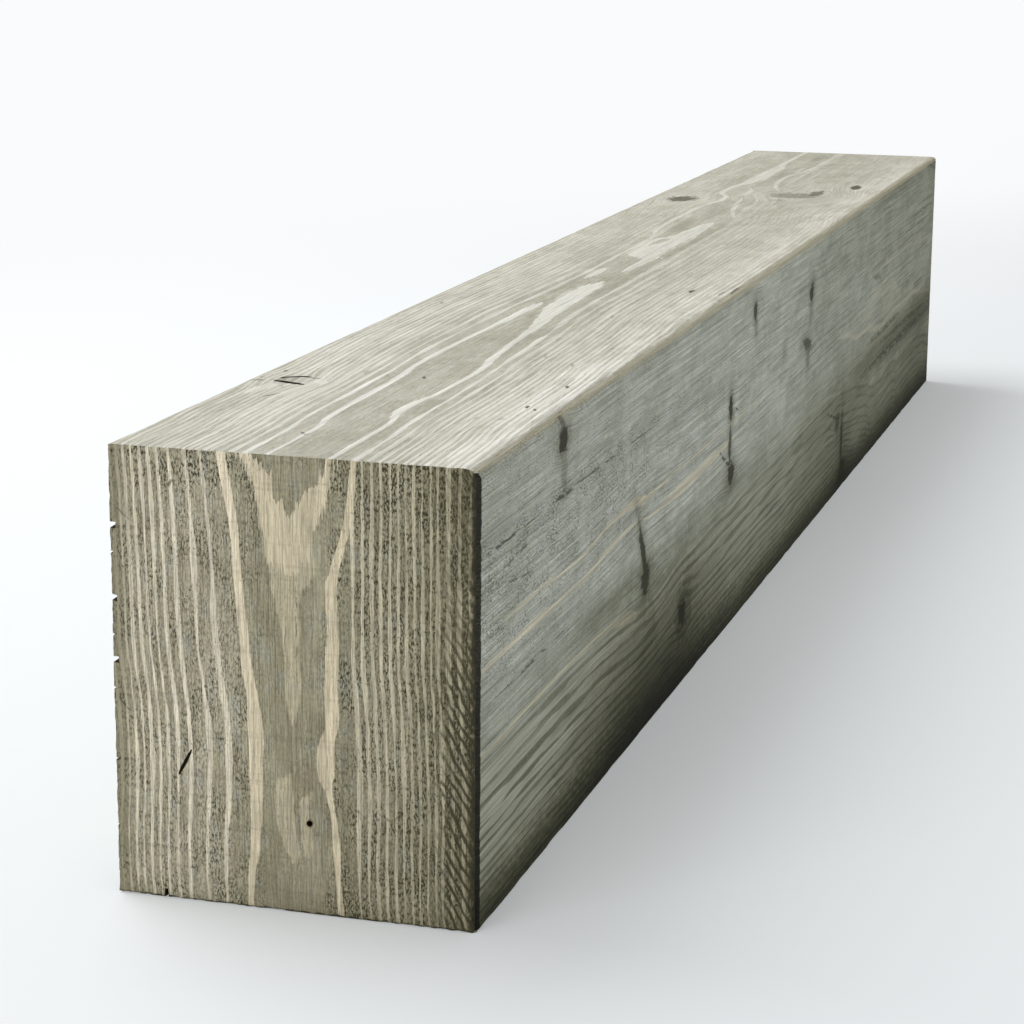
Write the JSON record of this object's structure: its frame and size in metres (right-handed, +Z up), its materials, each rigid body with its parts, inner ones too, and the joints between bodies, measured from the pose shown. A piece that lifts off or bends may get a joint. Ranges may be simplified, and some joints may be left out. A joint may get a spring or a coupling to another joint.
{
  "type": "squared timber beam",
  "caption": "Squared beam of pressure-treated softwood with eased arrises, weathered grey-green grain, knots and sawn ends, for use as a post, sleeper or bearer.",
  "frame": {"origin": "middle of the underside, on the surface that the beam lies on", "axes": "+Y along the beam from the near end to the far end, +X to the right side, +Z up"},
  "size_m": [0.18, 1.5, 0.22],
  "materials": {
    "treated_timber": "rough sawn softwood, pressure treated and weathered to a grey-green, matt"
  },
  "bodies": {
    "root": {"timber_beam": "treated_timber"}
  },
  "joints": []
}
